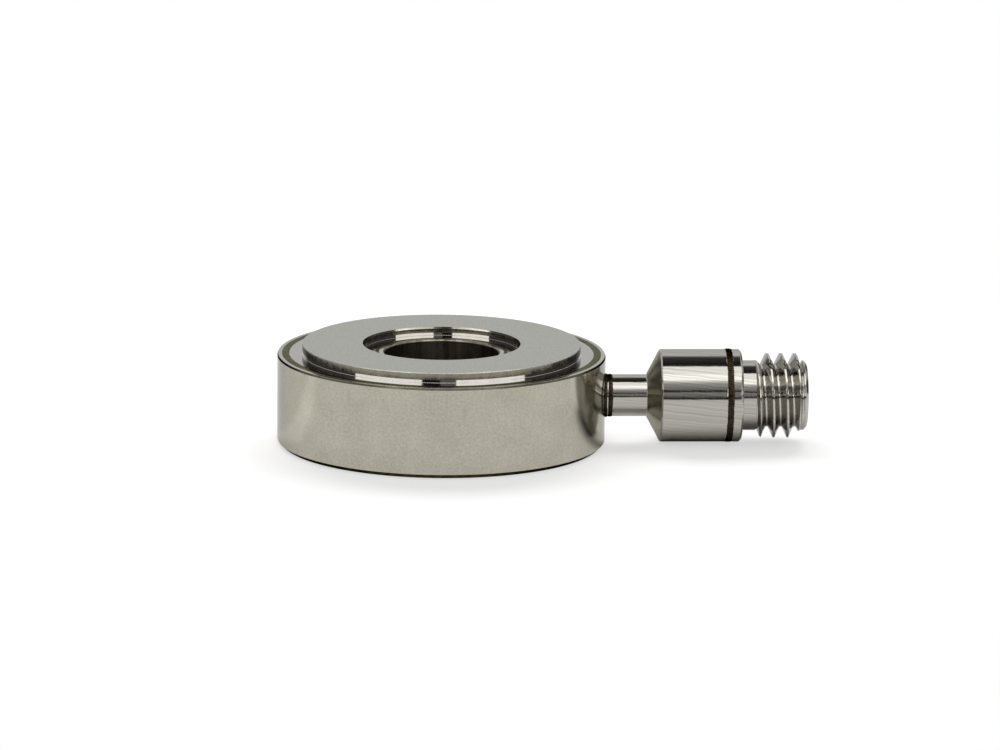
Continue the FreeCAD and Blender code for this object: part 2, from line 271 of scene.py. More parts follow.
# Lapped stainless load face: even, matt grey with a very fine grain.
lapped_face, tree, shader, place = finish("lapped_stainless_face", "#B3B4AB", 1.0, 0.28, STEEL_EDGE)
tint(tree, shader, grain(tree, place, 0.16), "#A9AAA0", "#BBBCB4")
vary(tree, shader, "Roughness", grain(tree, place, 0.2), 0.25, 0.31)
relief(tree, shader, grain(tree, place, 0.12), 0.0005)

# Finish-turned stainless ledges and lands: bright, nearly mirror, with faint rings round the bore.
bright_turned, tree, shader, place = finish("bright_turned_stainless", "#B7B4AE", 1.0, 0.06, STEEL_EDGE)
rings = lay(tree, distance_from_bore(tree, place), 0.12)
vary(tree, shader, "Roughness", rings, 0.045, 0.085)
relief(tree, shader, rings, 0.0003)

# Plunge-turned side walls of the raised face: the same steel, duller and mottled, and painted darker: painted
# shade for the dim reflection that these walls show.
plunged_wall_painted_shade, tree, shader, place = finish("plunge_turned_stainless_painted_shade", "#898478", 1.0, 0.22, STEEL_EDGE)
mottle = grain(tree, place, 0.35)
tint(tree, shader, mottle, "#7A7568", "#979286")
vary(tree, shader, "Roughness", mottle, 0.16, 0.28)
relief(tree, shader, lay(tree, along(tree, place, "Z"), 0.1), 0.0003)

# Feet of those walls, in the same steel painted brighter: painted highlight for the bright band that they and
# the ledge reflect; the brightest steel on the sensor.
foot_band_painted_highlight, tree, shader, place = finish("foot_band_stainless_painted_highlight", "#CFCDC8", 1.0, 0.06)
tint(tree, shader, grain(tree, place, 0.4), "#C8C6C0", "#D6D4D0")
relief(tree, shader, lay(tree, along(tree, place, "Z"), 0.06), 0.0002)

# Base edge, painted dark: painted shade for the floor's contact shadow that this chamfer mirrors.
base_chamfer_painted_shade, tree, shader, place = finish("base_chamfer_stainless_painted_shade", "#3A392C", 1.0, 0.3, "#77776C")
tint(tree, shader, grain(tree, place, 0.4), "#2E2D22", "#474637")

# Lead-in at the rim: the steel darker and a little duller than the wall's.
darker_lead_in_edge, tree, shader, place = finish("darker_stainless_lead_in", "#605E53", 1.0, 0.2, "#77776C")
tint(tree, shader, grain(tree, place, 0.4), "#545248", "#6B695E")

# Bored stainless, never polished, and painted darker: painted shade in the deep bore; with brown streaks
# drawn out along it.
bore_steel_painted_shade, tree, shader, place = finish("bored_stainless_painted_shade", "#6E685E", 1.0, 0.28, STEEL_EDGE)
drawn = node(tree, VECTOR_MATH, (place, (1, 1, 0.1)), operation="MULTIPLY").outputs[0]
tint(tree, shader, grain(tree, drawn, 0.5), "#584C3D", "#908A80")
relief(tree, shader, lay(tree, along(tree, place, "Z"), 0.12), 0.0008)

# Turned stainless of stem, barrel and flange: bright bands along the axis, feed marks round it and fine
# wiping scratches slanted along it.
turned_connector, tree, shader, place = finish("turned_stainless_connector", "#A9A7A0", 1.0, 0.09, STEEL_EDGE)
feed = lay(tree, along(tree, place, "X"), 0.11)
vary(tree, shader, "Roughness", feed, 0.07, 0.12)
scratches = lay(tree, slanted(tree, place), 0.14)
tint(tree, shader, scratches, "#9F9C94", "#B3B1AA")
marks = relief(tree, shader, feed, 0.0004)
relief(tree, shader, scratches, 0.0012, marks)

# Coarse-turned cone between stem and barrel: the same steel, duller.
coarse_cone, tree, shader, place = finish("coarse_turned_stainless", "#A8A498", 1.0, 0.22, "#B8B8B2")
vary(tree, shader, "Roughness", grain(tree, place, 0.3), 0.17, 0.27)
relief(tree, shader, lay(tree, along(tree, place, "X"), 0.1), 0.0006)

# Single-point cut thread: the same steel, a little rougher on the flanks.
cut_thread_steel, tree, shader, place = finish("thread_cut_stainless", "#B6B3AC", 1.0, 0.1, STEEL_EDGE)
vary(tree, shader, "Roughness", grain(tree, place, 0.3), 0.07, 0.13)
relief(tree, shader, grain(tree, place, 0.12), 0.0004)

# Laser weld, oxidised by its own heat: dark olive with brown patches.
weld_tint, tree, shader, place = finish("heat_tinted_laser_weld", "#78786C", 1.0, 0.14, "#A3A398")
tint(tree, shader, grain(tree, place, 0.5), "#6C685B", "#83847A")
vary(tree, shader, "Roughness", grain(tree, place, 0.2), 0.1, 0.2)

# Hard-fired seam of the barrel and the stem root: brown to black scale.
weld_scale, tree, shader, place = finish("brown_scaled_laser_weld", "#2E281C", 1.0, 0.3, "#7A7464")
tint(tree, shader, grain(tree, place, 0.25), "#17140E", "#40382A")
vary(tree, shader, "Roughness", grain(tree, place, 0.15), 0.2, 0.42)

# Gold plate over copper alloy: warm, soft gloss.
gold_plate, tree, shader, place = finish("gold_plated_contact", "#D9AE5C", 1.0, 0.18)
tint(tree, shader, grain(tree, place, 0.25), "#D2A552", "#E0B766")
relief(tree, shader, lay(tree, along(tree, place, "X"), 0.08), 0.0004)

# Turned PTFE: waxy white with faint tool rings.
white_ptfe, tree, shader, place = finish("turned_white_ptfe", "#EDEBE4", 0.0, 0.42)
shader.inputs["IOR"].default_value = 1.35
tint(tree, shader, grain(tree, place, 0.4), "#E6E3DA", "#F1EFEA")
relief(tree, shader, lay(tree, along(tree, place, "X"), 0.1), 0.0008)

# Sealing glass: dark green, fused smooth.
seal_glass, tree, shader, place = finish("fused_sealing_glass", "#24352F", 0.0, 0.08)
tint(tree, shader, grain(tree, place, 0.3), "#1E2D28", "#2C4038")

# Lapped quartz plate: colourless crystal, milky from lapping.
quartz, tree, shader, place = finish("lapped_quartz", "#DCDFDD", 0.0, 0.35)
shader.inputs["IOR"].default_value = 1.544
tint(tree, shader, grain(tree, place, 0.6), "#D5D9D8", "#E3E5E3")

# Rolled nickel foil of the electrode: soft gloss with straight rolling marks.
nickel_foil, tree, shader, place = finish("rolled_nickel_foil", "#B5AFA3", 1.0, 0.25)
relief(tree, shader, lay(tree, along(tree, place, "Y"), 0.2), 0.0006)

# Drawn, tinned copper wire: grey tin with copper showing through.
tinned_copper, tree, shader, place = finish("tinned_copper_wire", "#B9A08C", 1.0, 0.3)
tint(tree, shader, grain(tree, place, 0.3), "#B28A6E", "#C2B3A4")


# Turned pieces.

def rounded(*corners):
    """A closed section with rounded corners: (across, up, rounding, finish of the run that follows)."""
    points = []
    for i, (across, up, rounding, run) in enumerate(corners):
        here = Vector((across, up))
        if not rounding:
            points.append((across, up, run))
            continue
        back = (Vector(corners[i - 1][:2]) - here).normalized()
        ahead = (Vector(corners[(i + 1) % len(corners)][:2]) - here).normalized()
        half = back.angle(ahead) / 2
        centre = here + (back + ahead).normalized() * rounding / math.sin(half)
        start = here + back * rounding / math.tan(half) - centre
        sweep = start.angle_signed(here + ahead * rounding / math.tan(half) - centre)
        steps = max(2, math.ceil(abs(sweep) / ARC_STEP))
        for k in range(steps + 1):
            spoke = Matrix.Rotation(-sweep * k / steps, 2) @ start
            points.append((centre.x + spoke.x, centre.y + spoke.y, run))
    return held(points)


def held(points):
    """The same section with a point close to both ends of each long run, so that flats shade flat."""
    result = []
    for (x, y, name), (x1, y1, _) in zip(points, points[1:] + points[:1]):
        result.append((x, y, name))
        length = math.hypot(x1 - x, y1 - y)
        if length > LONG_RUN:
            result += [(x + (x1 - x) * k, y + (y1 - y) * k, name) for k in (HOLD / length, 1 - HOLD / length)]
    return result


def divided(points, run, step):
    """The same section with one of its runs cut into short steps."""
    result = []
    for (x, y, name), (x1, y1, _) in zip(points, points[1:] + points[:1]):
        count = max(1, math.ceil(math.hypot(x1 - x, y1 - y) / step)) if name == run else 1
        result += [(x + (x1 - x) * k / count, y + (y1 - y) * k / count, name) for k in range(count)]
    return result


def new_piece(name, mesh):
    """An object at the origin with this mesh."""
    piece = bpy.data.objects.new(name, mesh)
    bpy.context.scene.collection.objects.link(piece)
    return piece


def settled(piece):
    """Turn what the modifiers make into the piece's plain mesh."""
    evaluated = piece.evaluated_get(bpy.context.evaluated_depsgraph_get())
    mesh = bpy.data.meshes.new_from_object(evaluated)
    piece.modifiers.clear()
    old = piece.data
    piece.data = mesh
    mesh.name = piece.name
    bpy.data.meshes.remove(old)


def turned(name, section, sides, finishes, about_connector=False):
    """A solid turned from a section of (radius, place along the axis, finish)."""
    slots = list(dict.fromkeys(run for _, _, run in section))
    form = bmesh.new()
    rings = []
    for k in range(sides):
        c, s = math.cos(2 * math.pi * k / sides), math.sin(2 * math.pi * k / sides)
        if about_connector:
            spots = [(h, r * c, r * s) for r, h, _ in section]
        else:
            spots = [(r * c, r * s, h) for r, h, _ in section]
        rings.append([form.verts.new(Vector(p) * MM) for p in spots])
    for k in range(sides):
        this, following = rings[k], rings[(k + 1) % sides]
        for i, (_, _, run) in enumerate(section):
            j = (i + 1) % len(section)
            face = form.faces.new((this[i], this[j], following[j], following[i]))
            face.material_index = slots.index(run)
            face.smooth = True
    bmesh.ops.remove_doubles(form, verts=form.verts, dist=SAME_SPOT)
    bmesh.ops.recalc_face_normals(form, faces=form.faces)
    mesh = bpy.data.meshes.new(name)
    form.to_mesh(mesh)
    form.free()
    for run in slots:
        mesh.materials.append(finishes[run])
    return new_piece(name, mesh)


def even_shading(piece):
    """Keep sharp corners sharp and rounded ones smooth."""
    piece.data.set_sharp_from_angle(angle=SMOOTH_BELOW)


def cut_away(piece, tool):
    """Cut a tool's shape out of a piece."""
    cut = piece.modifiers.new("cut", "BOOLEAN")
    cut.operation = "DIFFERENCE"
    cut.solver = "EXACT"
    cut.object = tool
    settled(piece)
    bpy.data.objects.remove(tool)


def place_on_axis(piece):
    """Lift a connector piece, made about the X axis, to the connector's height."""
    piece.data.transform(Matrix.Translation((0, 0, AXIS_HEIGHT * MM)))


housing = turned("housing_ring", rounded(
    (BORE_R + BORE_CHAMFER, 0, BROKEN, "base"),
    (RING_R - BASE_CHAMFER, 0, EASED, "chamfer"),
    (RING_R, BASE_CHAMFER, EASED, "wall"),
    (RING_R, RIM - LIP_HEIGHT, BROKEN, "lead"),
    (RING_R - RIM_LEAD, RIM, CRISP, "rim"),
    (OUTER_JOINT + OUTER_TRACK / 2, RIM, TRACK_EDGE, "rim"),
    (OUTER_JOINT, RIM - TRACK_SINK, 0, "rim"),
    (OUTER_JOINT, SEAT, 0, "rim"),
    (OUTER_CAVITY, SEAT, 0, "rim"),
    (OUTER_CAVITY, CAVITY_FLOOR, 0, "rim"),
    (INNER_CAVITY, CAVITY_FLOOR, 0, "rim"),
    (INNER_CAVITY, SEAT, 0, "rim"),
    (INNER_JOINT, SEAT, 0, "rim"),
    (INNER_JOINT, INNER_RIM - TRACK_SINK, 0, "rim"),
    (INNER_JOINT - INNER_TRACK / 2, INNER_RIM, TRACK_EDGE, "rim"),
    (BORE_R + BORE_CHAMFER, INNER_RIM, BROKEN, "bore"),
    (BORE_R, INNER_RIM - BORE_CHAMFER, BROKEN, "bore"),
    (BORE_R, BORE_CHAMFER, BROKEN, "bore"),
), RING_SIDES, {"base": lapped_face, "chamfer": base_chamfer_painted_shade, "wall": satin_wall, "lead": darker_lead_in_edge,
                "rim": bright_turned, "bore": bore_steel_painted_shade})
port = turned("port_tool", rounded(
    (0, STACK_OUT, 0, "rim"), (STEM_R, STACK_OUT, 0, "rim"),
    (STEM_R, RING_R + PORT_OVERRUN, 0, "rim"), (0, RING_R + PORT_OVERRUN, 0, "rim"),
), SOCKET_SIDES, {"rim": bright_turned}, about_connector=True)
place_on_axis(port)
cut_away(housing, port)
even_shading(housing)

cover = turned("load_cover", rounded(
    (STACK_IN, PRESSURE_FACE, 0, "under"),
    (STACK_OUT, PRESSURE_FACE, 0, "under"),
    (STACK_OUT, SEAT, 0, "under"),
    (OUTER_JOINT, SEAT, 0, "under"),
    (OUTER_JOINT, RIM - TRACK_SINK, 0, "ledge"),
    (OUTER_JOINT - OUTER_TRACK / 2, RIM, TRACK_EDGE, "ledge"),
    (RAISED_OUT, RIM, CRISP, "foot"),
    (RAISED_OUT, RIM + FOOT_BAND, 0, "side"),
    (RAISED_OUT, FACE, ROUND, "face"),
    (RAISED_IN + LIP_WIDTH, FACE, CRISP, "lip"),
    (RAISED_IN, FACE - LIP_HEIGHT, LIP_ROUND, "side"),
    (RAISED_IN, INNER_RIM + FOOT_BAND, 0, "foot"),
    (RAISED_IN, INNER_RIM, CRISP, "ledge"),
    (INNER_JOINT + INNER_TRACK / 2, INNER_RIM, TRACK_EDGE, "ledge"),
    (INNER_JOINT, INNER_RIM - TRACK_SINK, 0, "under"),
    (INNER_JOINT, SEAT, 0, "under"),
    (STACK_IN, SEAT, 0, "under"),
), RING_SIDES, {"under": bright_turned, "ledge": bright_turned, "lip": satin_wall, "side": plunged_wall_painted_shade,
                "foot": foot_band_painted_highlight, "face": lapped_face})
even_shading(cover)

stem = turned("stem_and_barrel", rounded(
    (LEAD_BORE_R, OUTER_CAVITY, 0, "inside"),
    (LEAD_BORE_R, BARREL_BORE_END, 0, "inside"),
    (BARREL_BORE_R, BARREL_BORE_END, 0, "inside"),
    (BARREL_BORE_R, BARREL_JOINT, 0, "inside"),
    (BARREL_R - TRACK_SINK, BARREL_JOINT, 0, "outside"),
    (BARREL_R, BARREL_JOINT - BARREL_TRACK / 2, TRACK_BLEND, "outside"),
    (BARREL_R, BARREL_START + CONE_BREAK, BROKEN, "outside"),
    (BARREL_R - CONE_BREAK, BARREL_START, BROKEN, "cone"),
    (STEM_R, CONE_START, ROUND, "outside"),
    (STEM_R, OUTER_CAVITY, 0, "outside"),
), CONNECTOR_SIDES, {"inside": bore_steel_painted_shade, "outside": turned_connector, "cone": coarse_cone},
    about_connector=True)
place_on_axis(stem)
even_shading(stem)

shell = turned("threaded_connector", divided(rounded(
    (SEAL_R, SPIGOT_END, 0, "inside"),
    (SEAL_R, CUP_FLOOR, 0, "inside"),
    (CUP_R, CUP_FLOOR, 0, "inside"),
    (CUP_R, NOSE_END, ROUND, "nose"),
    (NOSE_R - NOSE_EDGE, NOSE_END, ROUND, "nose"),
    (NOSE_R, NOSE_END - NOSE_EDGE, ROUND, "nose"),
    (NOSE_R, THREAD_OUT, 0, "thread"),
    (NOSE_R, THREAD_END, 0, "thread"),
    (THREAD_R, THREAD_END - LEAD_OUT, 0, "thread"),
    (THREAD_R, THREAD_IN + LEAD_IN, 0, "thread"),
    (RELIEF_R, THREAD_IN, 0, "outside"),
    (RELIEF_R, FLANGE_END, BROKEN, "outside"),
    (BARREL_R - FLANGE_BREAK, FLANGE_END, ROUND, "outside"),
    (BARREL_R, FLANGE_END - FLANGE_BREAK, ROUND, "outside"),
    (BARREL_R, BARREL_JOINT + BARREL_TRACK / 2, TRACK_BLEND, "outside"),
    (BARREL_R - TRACK_SINK, BARREL_JOINT, 0, "inside"),
    (BARREL_BORE_R, BARREL_JOINT, 0, "inside"),
    (BARREL_BORE_R, SPIGOT_END, 0, "inside"),
), "thread", THREAD_STEP), CONNECTOR_SIDES, {
    "inside": bore_steel_painted_shade, "outside": turned_connector, "thread": cut_thread_steel,
    "nose": turned_connector}, about_connector=True)

contact = turned("centre_socket", rounded(
    (0, TAIL_END, 0, "gold"),
    (0, HOLE_FLOOR - DRILL_POINT, 0, "gold"),
    (CONTACT_HOLE_R, HOLE_FLOOR, 0, "gold"),
    (CONTACT_HOLE_R, CONTACT_TIP, EASED, "gold"),
    (CONTACT_R, CONTACT_TIP, TIP_ROUND, "gold"),
    (CONTACT_R, CUP_FLOOR, 0, "gold"),
    (TAIL_R, CUP_FLOOR, 0, "gold"),
    (TAIL_R, TAIL_END, EASED, "gold"),
), SOCKET_SIDES, {"gold": gold_plate}, about_connector=True)
for turn in (0, math.pi / 2):
    blade = bmesh.new()
    bmesh.ops.create_cube(blade, size=1)
    tool_mesh = bpy.data.meshes.new("slot_tool")
    blade.to_mesh(tool_mesh)
    blade.free()
    tool_mesh.transform(Matrix.Translation((CONTACT_TIP * MM, 0, 0)) @ Matrix.Rotation(turn, 4, "X")
                        @ Matrix.Diagonal((2 * SLOT_DEPTH * MM, SLOT_WIDTH * MM, 3 * CONTACT_R * MM, 1)))
    tool_mesh.materials.append(gold_plate)
    cut_away(contact, new_piece("slot_tool", tool_mesh))
place_on_axis(contact)
even_shading(contact)

insulator = turned("socket_insulator", rounded(
    (CONTACT_R + CONTACT_GAP, CUP_FLOOR, 0, "white"),
    (CONTACT_R + CONTACT_GAP, INSULATOR_FRONT, ROUND, "white"),
    (CUP_R, INSULATOR_FRONT, ROUND, "white"),
    (CUP_R, CUP_FLOOR, 0, "white"),
), SOCKET_SIDES, {"white": white_ptfe}, about_connector=True)
place_on_axis(insulator)
even_shading(insulator)


# Trees of geometry nodes, for what follows a rule: the thread and the weld beads.

FLOAT = "NodeSocketFloat"


def new_tree(name, inputs):
    """An empty geometry tree with named inputs; gives the tree, its input sockets and their identifiers."""
    tree = bpy.data.node_groups.new(name, "GeometryNodeTree")
    tree.interface.new_socket("Geometry", in_out="OUTPUT", socket_type="NodeSocketGeometry")
    ids = {}
    for label, kind in inputs:
        ids[label] = tree.interface.new_socket(label, in_out="INPUT", socket_type=kind).identifier
    sockets = node(tree, "NodeGroupInput").outputs
    return tree, {label: sockets[i] for i, (label, _) in enumerate(inputs)}, ids


def end_tree(tree, geometry, material, where=True):
    """Close a tree with Realize Instances and Set Material."""
    real = node(tree, "GeometryNodeRealizeInstances", (geometry,))
    last = node(tree, "GeometryNodeSetMaterial", {
        "Geometry": real.outputs[0], "Selection": where, "Material": material})
    node(tree, "NodeGroupOutput", (last.outputs[0],))


def run_tree(piece, tree, ids, values):
    """Put a tree on a piece, set its inputs and turn the result into a plain mesh."""
    modifier = piece.modifiers.new(tree.name, "NODES")
    modifier.node_group = tree
    for label, value in values.items():
        modifier[ids[label]] = value
    settled(piece)


# Thread cutter: pulls the plain threaded length in to a right-hand V that fades out at both ends.
thread_tree, given, thread_ids = new_tree("thread_cutter", (
    ("Blank", "NodeSocketGeometry"), ("Pitch", FLOAT), ("Root radius", FLOAT), ("Inside radius", FLOAT),
    ("Crest flat", FLOAT), ("Root flat", FLOAT), ("Start", FLOAT), ("End", FLOAT), ("Fade in", FLOAT),
    ("Fade out", FLOAT), ("Turn offset", FLOAT), ("Material", "NodeSocketMaterial")))
tree = thread_tree
spot = node(tree, "GeometryNodeInputPosition").outputs[0]
x, y, z = node(tree, "ShaderNodeSeparateXYZ", (spot,)).outputs[:3]

# Place within one turn of the helix: the ridge is 1 at the crest and 0 in the root, and both are cut flat.
angle = node(tree, MATH, (z, y), operation="ARCTAN2").outputs[0]
turn = node(tree, MATH, (angle, 2 * math.pi), operation="DIVIDE").outputs[0]
turns_along = node(tree, MATH, (x, given["Pitch"]), operation="DIVIDE").outputs[0]
turns_ahead = node(tree, MATH, (turns_along, turn), operation="SUBTRACT").outputs[0]
phase = node(tree, MATH, (turns_ahead, given["Turn offset"]), operation="SUBTRACT").outputs[0]
saw = node(tree, MATH, (phase,), operation="FRACT").outputs[0]
from_middle = node(tree, MATH, (saw, 0.5), operation="SUBTRACT").outputs[0]
half_ridge = node(tree, MATH, (from_middle,), operation="ABSOLUTE").outputs[0]
ridge = node(tree, MATH, (half_ridge, 2.0), operation="MULTIPLY").outputs[0]
crest_edge = node(tree, MATH, (1.0, given["Crest flat"]), operation="SUBTRACT").outputs[0]
groove = node(tree, "ShaderNodeMapRange", {
    "Value": ridge, "From Min": crest_edge, "From Max": given["Root flat"]}).outputs["Result"]

# Depth of the cut, less towards both ends.
full_from = node(tree, MATH, (given["Start"], given["Fade in"]), operation="ADD").outputs[0]
full_to = node(tree, MATH, (given["End"], given["Fade out"]), operation="SUBTRACT").outputs[0]
fade_in = fade(tree, x, given["Start"], full_from)
fade_out = fade(tree, x, given["End"], full_to)
faded = node(tree, MATH, (fade_in, fade_out), operation="MULTIPLY").outputs[0]
depth = node(tree, MATH, (groove, faded), operation="MULTIPLY").outputs[0]

# Each point moves towards the axis, by a share of its radius.
y_square = node(tree, MATH, (y, y), operation="MULTIPLY").outputs[0]
z_square = node(tree, MATH, (z, z), operation="MULTIPLY").outputs[0]
square = node(tree, MATH, (y_square, z_square), operation="ADD").outputs[0]
radius = node(tree, MATH, (square,), operation="SQRT").outputs[0]
to_root = node(tree, MATH, (given["Root radius"], radius), operation="SUBTRACT").outputs[0]
pull = node(tree, MATH, (to_root, depth), operation="MULTIPLY").outputs[0]
some_radius = node(tree, MATH, (radius, TINY), operation="MAXIMUM").outputs[0]
share = node(tree, MATH, (pull, some_radius), operation="DIVIDE").outputs[0]
y_move = node(tree, MATH, (y, share), operation="MULTIPLY").outputs[0]
z_move = node(tree, MATH, (z, share), operation="MULTIPLY").outputs[0]
move = node(tree, "ShaderNodeCombineXYZ", {1: y_move, 2: z_move}).outputs[0]
outside = node(tree, "FunctionNodeCompare", (radius, given["Inside radius"]),
               data_type="FLOAT", operation="GREATER_THAN").outputs[0]
cut = node(tree, "GeometryNodeSetPosition", {
    "Geometry": given["Blank"], "Selection": outside, "Offset": move}).outputs[0]

# The threaded length alone takes the thread's finish.
past_start = node(tree, "FunctionNodeCompare", (x, given["Start"]),
                  data_type="FLOAT", operation="GREATER_THAN").outputs[0]
before_end = node(tree, "FunctionNodeCompare", (x, given["End"]),
                  data_type="FLOAT", operation="LESS_THAN").outputs[0]
within = node(tree, "FunctionNodeBooleanMath", (past_start, before_end)).outputs[0]
threaded = node(tree, "FunctionNodeBooleanMath", (outside, within)).outputs[0]
end_tree(tree, cut, given["Material"], threaded)

run_tree(shell, thread_tree, thread_ids, {
    "Pitch": THREAD_PITCH * MM, "Root radius": THREAD_ROOT_R * MM, "Inside radius": THREAD_INSIDE_R * MM,
    "Crest flat": 0.13, "Root flat": 0.13, "Start": THREAD_IN * MM, "End": THREAD_OUT * MM,
    "Fade in": 0.12 * MM, "Fade out": 0.1 * MM, "Turn offset": 0.21, "Material": cut_thread_steel})
place_on_axis(shell)
even_shading(shell)

# Weld bead: a flat oval cord laid round a joint, with laser-spot ripples and a wandering edge.
# Lay 0 is a seam in a flat face round the bore, lay 1 a seam round the connector.
SECTION_SIDES = 17
CRESCENT = 0.6
seam_tree, given, seam_ids = new_tree("weld_bead", (
    ("Start", "NodeSocketGeometry"), ("Radius", FLOAT), ("Width", FLOAT), ("Crown", FLOAT), ("Sink", FLOAT),
    ("Spots", FLOAT), ("Ripple", FLOAT), ("Wander", FLOAT), ("Wander size", FLOAT), ("Lay", FLOAT),
    ("Wall radius", FLOAT), ("Seed", FLOAT), ("Sides", "NodeSocketInt"), ("Turned", "NodeSocketRotation"),
    ("Centre", "NodeSocketVector"), ("Material", "NodeSocketMaterial")))
tree = seam_tree
sheet = node(tree, "GeometryNodeMeshGrid", {
    "Size X": 1.0, "Size Y": 1.0, "Vertices X": given["Sides"], "Vertices Y": SECTION_SIDES}).outputs[0]
sheet_spot = node(tree, "GeometryNodeInputPosition").outputs[0]
u, v = node(tree, "ShaderNodeSeparateXYZ", (sheet_spot,)).outputs[:2]
bearing = node(tree, MATH, (u, 2 * math.pi), operation="MULTIPLY").outputs[0]
round_section = node(tree, MATH, (v, 2 * math.pi), operation="MULTIPLY").outputs[0]
cosine = node(tree, MATH, (bearing,), operation="COSINE").outputs[0]
sine = node(tree, MATH, (bearing,), operation="SINE").outputs[0]
side = node(tree, MATH, (round_section,), operation="COSINE").outputs[0]
top = node(tree, MATH, (round_section,), operation="SINE").outputs[0]

# Half width of the bead, which strays a little along the seam.
even_half = node(tree, MATH, (given["Width"], 0.5), operation="MULTIPLY").outputs[0]
path_x = node(tree, MATH, (cosine, given["Radius"]), operation="MULTIPLY").outputs[0]
path_y = node(tree, MATH, (sine, given["Radius"]), operation="MULTIPLY").outputs[0]
path_z = node(tree, MATH, (side, even_half), operation="MULTIPLY").outputs[0]
path_spot = node(tree, "ShaderNodeCombineXYZ", (path_x, path_y, path_z)).outputs[0]
wander_scale = node(tree, MATH, (1.0, given["Wander size"]), operation="DIVIDE").outputs[0]
ragged = node(tree, "ShaderNodeTexNoise", {
    "Vector": path_spot, "W": given["Seed"], "Scale": wander_scale, "Detail": 2.0},
    noise_dimensions="4D").outputs[0]
either_way = node(tree, MATH, (ragged, 0.5), operation="SUBTRACT").outputs[0]
stray = node(tree, MATH, (either_way, given["Wander"]), operation="MULTIPLY").outputs[0]
half_width = node(tree, MATH, (even_half, stray), operation="ADD").outputs[0]
across = node(tree, MATH, (side, half_width), operation="MULTIPLY").outputs[0]

# Height of the bead: crescent ripples on the crown above the joint, a plain oval below it.
side_square = node(tree, MATH, (side, side), operation="MULTIPLY").outputs[0]
crescent = node(tree, MATH, (side_square, CRESCENT), operation="MULTIPLY").outputs[0]
spots_along = node(tree, MATH, (u, given["Spots"]), operation="MULTIPLY").outputs[0]
spots = node(tree, MATH, (spots_along, crescent), operation="ADD").outputs[0]
spot_angle = node(tree, MATH, (spots, 2 * math.pi), operation="MULTIPLY").outputs[0]
spot_wave = node(tree, MATH, (spot_angle,), operation="SINE").outputs[0]
ripple = node(tree, MATH, (spot_wave, given["Ripple"]), operation="MULTIPLY").outputs[0]
crown = node(tree, MATH, (given["Crown"], ripple), operation="ADD").outputs[0]
upper = node(tree, MATH, (top, 0.0), operation="MAXIMUM").outputs[0]
lower = node(tree, MATH, (top, 0.0), operation="MINIMUM").outputs[0]
above = node(tree, MATH, (upper, crown), operation="MULTIPLY").outputs[0]
below = node(tree, MATH, (lower, given["Sink"]), operation="MULTIPLY").outputs[0]
up = node(tree, MATH, (above, below), operation="ADD").outputs[0]

# The sheet is bent into the bead; a seam round the connector also follows the wall that it runs into.
outwards = node(tree, "ShaderNodeMix", {"Factor": given["Lay"], "A": across, "B": up}).outputs[0]
level = node(tree, "ShaderNodeMix", {"Factor": given["Lay"], "A": up, "B": across}).outputs[0]
reach = node(tree, MATH, (given["Radius"], outwards), operation="ADD").outputs[0]
ahead = node(tree, MATH, (reach, cosine), operation="MULTIPLY").outputs[0]
flank = node(tree, MATH, (reach, sine), operation="MULTIPLY").outputs[0]
wall_square = node(tree, MATH, (given["Wall radius"], given["Wall radius"]), operation="MULTIPLY").outputs[0]
flank_square = node(tree, MATH, (flank, flank), operation="MULTIPLY").outputs[0]
depth_square = node(tree, MATH, (wall_square, flank_square), operation="SUBTRACT").outputs[0]
wall_depth = node(tree, MATH, (depth_square,), operation="SQRT").outputs[0]
saddle = node(tree, MATH, (wall_depth, given["Wall radius"]), operation="SUBTRACT").outputs[0]
saddle_share = node(tree, MATH, (saddle, given["Lay"]), operation="MULTIPLY").outputs[0]
height = node(tree, MATH, (level, saddle_share), operation="ADD").outputs[0]
laid = node(tree, "ShaderNodeCombineXYZ", (ahead, flank, height)).outputs[0]
bead = node(tree, "GeometryNodeSetPosition", {"Geometry": sheet, "Position": laid}).outputs[0]
closed = node(tree, "GeometryNodeMergeByDistance", {"Geometry": bead, "Distance": SAME_SPOT}).outputs[0]
smooth = node(tree, "GeometryNodeSetShadeSmooth", {"Geometry": closed}).outputs[0]
moved = node(tree, "GeometryNodeTransform", {
    "Geometry": smooth, "Rotation": given["Turned"], "Translation": given["Centre"]}).outputs[0]
end_tree(tree, moved, given["Material"])

FLAT_WALL = 1.0
ALONG_X = (0.0, math.pi / 2, 0.0)
UPRIGHT = (0.0, 0.0, 0.0)


def weld(name, material, **values):
    """Lay one weld bead."""
    piece = new_piece(name, bpy.data.meshes.new(name))
    run_tree(piece, seam_tree, seam_ids, {**values, "Material": material})
    form = bmesh.new()
    form.from_mesh(piece.data)
    bmesh.ops.recalc_face_normals(form, faces=form.faces)
    form.to_mesh(piece.data)
    form.free()
    return piece


outer_weld = weld("outer_weld", weld_tint, **{
    "Radius": OUTER_JOINT * MM, "Width": OUTER_TRACK * MM, "Crown": 0.008 * MM, "Sink": 0.06 * MM,
    "Spots": 300.0, "Ripple": 0.0005 * MM, "Wander": 0.05 * MM, "Wander size": 0.6 * MM, "Lay": 0.0,
    "Wall radius": FLAT_WALL, "Seed": 1.0, "Sides": 2401, "Turned": UPRIGHT, "Centre": (0, 0, RIM * MM)})
inner_weld = weld("inner_weld", weld_tint, **{
    "Radius": INNER_JOINT * MM, "Width": INNER_TRACK * MM, "Crown": 0.004 * MM, "Sink": 0.06 * MM,
    "Spots": 150.0, "Ripple": 0.001 * MM, "Wander": 0.03 * MM, "Wander size": 0.5 * MM, "Lay": 0.0,
    "Wall radius": FLAT_WALL, "Seed": 2.0, "Sides": 1201, "Turned": UPRIGHT,
    "Centre": (0, 0, INNER_RIM * MM)})
